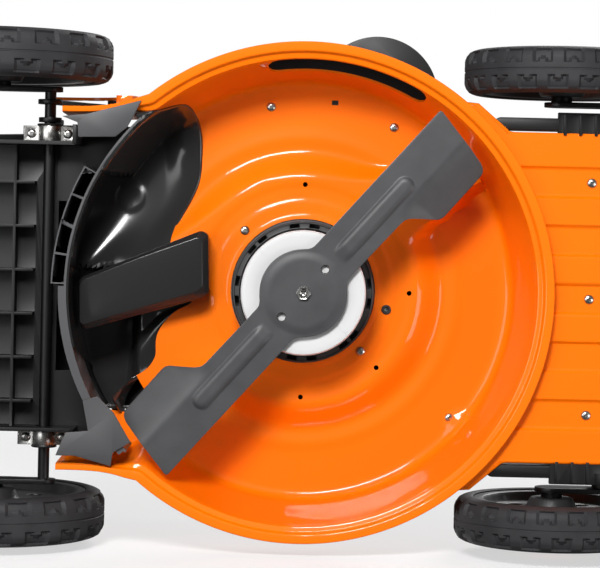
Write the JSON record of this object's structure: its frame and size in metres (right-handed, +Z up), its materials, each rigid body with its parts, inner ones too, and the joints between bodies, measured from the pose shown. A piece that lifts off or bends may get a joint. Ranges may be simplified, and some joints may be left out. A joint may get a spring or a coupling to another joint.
{
  "type": "lawn mower",
  "caption": "Walk-behind rotary mower with a pressed-steel deck, rear discharge duct, folding handle and height-adjustable wheels.",
  "frame": {"origin": "on the ground under the middle of the whole machine's box, wheels down and handle up", "axes": "+X forward, +Y to the operator's left, +Z up; the blade turns about a line parallel to Z, ahead of the origin"},
  "size_m": [1.5367, 0.5316, 1.0065],
  "materials": {
    "deck_paint": "gloss enamel",
    "grey_plastic": "fine moulded grain",
    "black_plastic": "fine moulded grain",
    "gloss_black_plastic": "polished moulding",
    "ring_plastic": "moulded",
    "fan_plastic": "moulded, light grey",
    "orange_plastic": "moulded",
    "blade_steel": "matt dark grey coat",
    "zinc_steel": "bright zinc plate",
    "black_steel": "black powder coat",
    "tube_paint": "powder coat",
    "motor_alloy": "cast",
    "core_steel": "stacked laminations",
    "winding_copper": "enamelled wire",
    "circuit_case": "potted module",
    "tyre_rubber": "moulded rubber",
    "wheel_plastic": "moulded",
    "foam": "closed-cell foam"
  },
  "bodies": {
    "deck": {"deck_shell": "deck_paint", "rear_body": "black_plastic", "skid_plates": "grey_plastic", "lattice_ring": "grey_plastic", "discharge_duct": "gloss_black_plastic", "duct_cover": "gloss_black_plastic", "side_chute": "black_plastic", "motor_ring": "ring_plastic", "motor_can": "motor_alloy", "stator": "winding_copper", "motor_bearings": "zinc_steel", "controller": "circuit_case", "motor_hood": "gloss_black_plastic", "battery_bay": "black_plastic", "front_cowl": "black_plastic", "front_axle_brackets": "black_plastic", "rear_axle_bushes": "black_plastic", "rear_axle_clamps": "zinc_steel", "clamp_screws": "zinc_steel", "deck_screws": "zinc_steel", "handle_brackets": "black_steel", "handle_pivot_bolts": "zinc_steel", "height_quadrant": "deck_paint", "carry_handle": "black_plastic", "flap_pins": "zinc_steel"},
    "blade_rotor": {"rotor_shaft": "zinc_steel", "rotor_core": "core_steel", "fan_disc": "fan_plastic", "cutting_blade": "blade_steel", "blade_washer": "zinc_steel", "blade_bolt": "zinc_steel"},
    "rear_axle": {"rear_axle_rod": "black_steel", "height_lever": "black_steel", "lever_grip": "black_plastic"},
    "front_axle": {"front_axle_rod": "black_steel"},
    "link": {"link_rod": "black_steel"},
    "lower_handle": {"lower_handle_tubes": "tube_paint"},
    "upper_handle": {"upper_handle_bar": "tube_paint", "foam_grip": "foam", "switch_box": "black_plastic"},
    "bail": {"bail_lever": "black_steel"},
    "lock": {"lock_button": "orange_plastic"},
    "left_cam": {"left_cam_lever": "black_plastic"},
    "right_cam": {"right_cam_lever": "black_plastic"},
    "battery": {"battery_pack": "orange_plastic"},
    "key": {"safety_key": "orange_plastic"},
    "rear_guard": {"rear_flap": "black_plastic"},
    "side_guard": {"side_flap": "black_plastic"},
    "front_left_wheel_set": {"front_left_tyre": "tyre_rubber", "front_left_wheel": "wheel_plastic", "front_left_cap": "orange_plastic"},
    "front_right_wheel_set": {"front_right_tyre": "tyre_rubber", "front_right_wheel": "wheel_plastic", "front_right_cap": "orange_plastic"},
    "rear_left_wheel_set": {"rear_left_tyre": "tyre_rubber", "rear_left_wheel": "wheel_plastic", "rear_left_cap": "orange_plastic"},
    "rear_right_wheel_set": {"rear_right_tyre": "tyre_rubber", "rear_right_wheel": "wheel_plastic", "rear_right_cap": "orange_plastic"}
  },
  "joints": [
    {"name": "blade_spin", "type": "hinge", "parent": "deck", "child": "blade_rotor", "pos_m": [0.3865, 0, 0.062], "axis": [0, 0, 1], "continuous": true},
    {"name": "rear_axle_swing", "type": "hinge", "parent": "deck", "child": "rear_axle", "pos_m": [0.1165, 0, 0.118], "axis": [0, 1, 0], "range_deg": [-27, 27]},
    {"name": "front_axle_swing", "type": "hinge", "parent": "deck", "child": "front_axle", "pos_m": [0.7055, 0, 0.102], "axis": [0, 1, 0], "range_deg": [-27, 27]},
    {"name": "link_pivot", "type": "hinge", "parent": "rear_axle", "child": "link", "pos_m": [0.1165, -0.169, 0.184], "axis": [0, 1, 0], "range_deg": [-27, 27]},
    {"name": "front_left_wheel_spin", "type": "hinge", "parent": "front_axle", "child": "front_left_wheel_set", "pos_m": [0.6525, 0.2335, 0.102], "axis": [0, 1, 0], "continuous": true},
    {"name": "rear_left_wheel_spin", "type": "hinge", "parent": "rear_axle", "child": "rear_left_wheel_set", "pos_m": [0.0635, 0.239, 0.118], "axis": [0, 1, 0], "continuous": true},
    {"name": "front_right_wheel_spin", "type": "hinge", "parent": "front_axle", "child": "front_right_wheel_set", "pos_m": [0.6525, -0.2335, 0.102], "axis": [0, 1, 0], "continuous": true},
    {"name": "rear_right_wheel_spin", "type": "hinge", "parent": "rear_axle", "child": "rear_right_wheel_set", "pos_m": [0.0635, -0.239, 0.118], "axis": [0, 1, 0], "continuous": true},
    {"name": "lower_handle_fold", "type": "hinge", "parent": "deck", "child": "lower_handle", "pos_m": [0.0965, 0, 0.2], "axis": [0, -1, 0], "range_deg": [-132, 0]},
    {"name": "upper_handle_fold", "type": "hinge", "parent": "lower_handle", "child": "upper_handle", "pos_m": [-0.37911, 0, 0.62824], "axis": [0, 1, 0], "range_deg": [-172, 0]},
    {"name": "left_cam_turn", "type": "hinge", "parent": "upper_handle", "child": "left_cam", "pos_m": [-0.37911, 0.19, 0.62824], "axis": [0, -1, 0], "range_deg": [0, 90]},
    {"name": "right_cam_turn", "type": "hinge", "parent": "upper_handle", "child": "right_cam", "pos_m": [-0.37911, -0.19, 0.62824], "axis": [0, -1, 0], "range_deg": [0, 90]},
    {"name": "bail_pull", "type": "hinge", "parent": "upper_handle", "child": "bail", "pos_m": [-0.65408, 0, 0.87582], "axis": [0, -1, 0], "range_deg": [0, 25], "stiffness_Nm_per_rad": 2, "springref_deg": -17.19},
    {"name": "lock_press", "type": "slide", "parent": "upper_handle", "child": "lock", "axis": [-0.6691, 0, -0.7431], "range_m": [0, 0.004], "stiffness_N_per_m": 600},
    {"name": "battery_lift", "type": "slide", "parent": "deck", "child": "battery", "axis": [0, 0, 1], "range_m": [0, 0.1]},
    {"name": "key_pull", "type": "slide", "parent": "deck", "child": "key", "axis": [0, 0, 1], "range_m": [0, 0.02]},
    {"name": "rear_flap_lift", "type": "hinge", "parent": "deck", "child": "rear_guard", "pos_m": [0.0435, 0, 0.228], "axis": [0, 1, 0], "range_deg": [0, 85]},
    {"name": "side_flap_lift", "type": "hinge", "parent": "deck", "child": "side_guard", "pos_m": [0.43179, -0.24434, 0.113], "axis": [-0.9833, -0.1822, 0], "range_deg": [0, 60], "stiffness_Nm_per_rad": 0.3, "springref_deg": -11.46}
  ],
  "couplings": [
    {"joint": "front_axle_swing", "follows": "rear_axle_swing", "ratio": 1},
    {"joint": "link_pivot", "follows": "rear_axle_swing", "ratio": -1}
  ]
}
